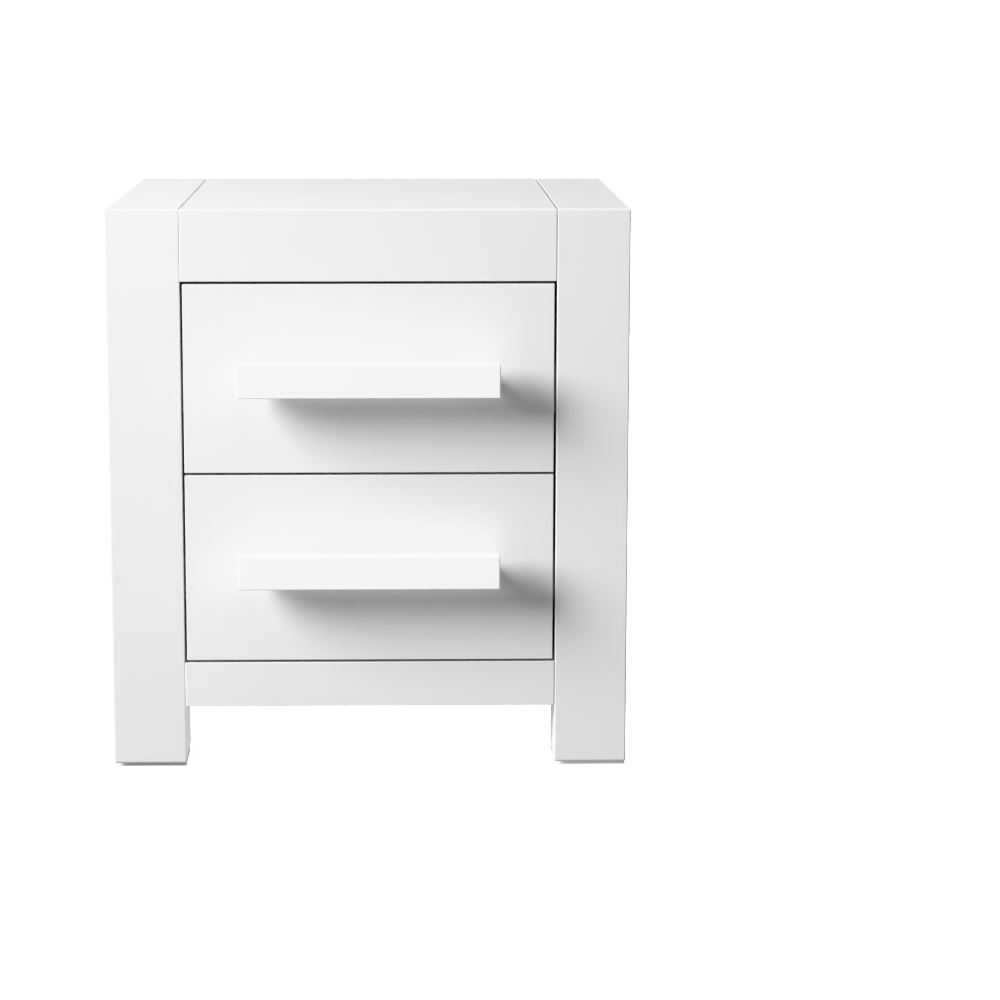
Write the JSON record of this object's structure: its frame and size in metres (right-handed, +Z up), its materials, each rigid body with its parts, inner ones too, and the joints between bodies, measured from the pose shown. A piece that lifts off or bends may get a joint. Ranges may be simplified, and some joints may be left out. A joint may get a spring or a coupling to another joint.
{
  "type": "nightstand",
  "caption": "White lacquered bedside cabinet on square legs, with inset drawers on full-extension runners and square bar handles on short standoffs.",
  "frame": {"origin": "on the floor, under the middle of the overall box, which reaches from the face of the handles to the back of the frame", "axes": "+X to the right as seen from the front, +Y to the back, +Z up; the drawers open towards -Y"},
  "size_m": [0.5, 0.456, 0.545],
  "materials": {
    "white_lacquer": "satin white lacquer on board",
    "handle_lacquer": "satin white lacquer",
    "back_board": "white faced hardboard",
    "plywood": "clear lacquered birch plywood",
    "zinc_steel": "zinc-plated sheet",
    "screw_steel": "nickel-plated",
    "glide_plastic": "moulded"
  },
  "bodies": {
    "carcass": {"back_panel": "back_board", "bottom_back_rail": "white_lacquer", "bottom_front_rail": "white_lacquer", "bottom_panel": "white_lacquer", "front_left_glide": "glide_plastic", "front_left_leg": "white_lacquer", "front_right_glide": "glide_plastic", "front_right_leg": "white_lacquer", "left_bottom_rail": "white_lacquer", "left_inner_panel": "white_lacquer", "left_outer_panel": "white_lacquer", "left_top_rail": "white_lacquer", "lower_left_cabinet_runner": "zinc_steel", "lower_right_cabinet_runner": "zinc_steel", "rear_left_glide": "glide_plastic", "rear_left_leg": "white_lacquer", "rear_right_glide": "glide_plastic", "rear_right_leg": "white_lacquer", "right_bottom_rail": "white_lacquer", "right_inner_panel": "white_lacquer", "right_outer_panel": "white_lacquer", "right_top_rail": "white_lacquer", "top_back_rail": "white_lacquer", "top_front_apron": "white_lacquer", "top_panel": "white_lacquer", "upper_left_cabinet_runner": "zinc_steel", "upper_right_cabinet_runner": "zinc_steel"},
    "lower_drawer": {"lower_drawer_back": "plywood", "lower_drawer_bottom": "plywood", "lower_drawer_front": "white_lacquer", "lower_drawer_left_side": "plywood", "lower_drawer_right_side": "plywood", "lower_handle_bar": "handle_lacquer", "lower_handle_screw_left": "screw_steel", "lower_handle_screw_right": "screw_steel", "lower_handle_standoff_left": "handle_lacquer", "lower_handle_standoff_right": "handle_lacquer", "lower_left_drawer_runner": "zinc_steel", "lower_right_drawer_runner": "zinc_steel"},
    "lower_runner_middles": {"lower_left_middle_runner": "zinc_steel", "lower_right_middle_runner": "zinc_steel"},
    "upper_drawer": {"upper_drawer_back": "plywood", "upper_drawer_bottom": "plywood", "upper_drawer_front": "white_lacquer", "upper_drawer_left_side": "plywood", "upper_drawer_right_side": "plywood", "upper_handle_bar": "handle_lacquer", "upper_handle_screw_left": "screw_steel", "upper_handle_screw_right": "screw_steel", "upper_handle_standoff_left": "handle_lacquer", "upper_handle_standoff_right": "handle_lacquer", "upper_left_drawer_runner": "zinc_steel", "upper_right_drawer_runner": "zinc_steel"},
    "upper_runner_middles": {"upper_left_middle_runner": "zinc_steel", "upper_right_middle_runner": "zinc_steel"}
  },
  "joints": [
    {"name": "lower_drawer_slide", "type": "slide", "parent": "carcass", "child": "lower_drawer", "axis": [0, -1, 0], "range_m": [0, 0.34]},
    {"name": "lower_middles_slide", "type": "slide", "parent": "carcass", "child": "lower_runner_middles", "axis": [0, -1, 0], "range_m": [0, 0.17]},
    {"name": "upper_drawer_slide", "type": "slide", "parent": "carcass", "child": "upper_drawer", "axis": [0, -1, 0], "range_m": [0, 0.34]},
    {"name": "upper_middles_slide", "type": "slide", "parent": "carcass", "child": "upper_runner_middles", "axis": [0, -1, 0], "range_m": [0, 0.17]}
  ],
  "couplings": [
    {"joint": "lower_middles_slide", "follows": "lower_drawer_slide", "ratio": 0.5},
    {"joint": "upper_middles_slide", "follows": "upper_drawer_slide", "ratio": 0.5}
  ]
}
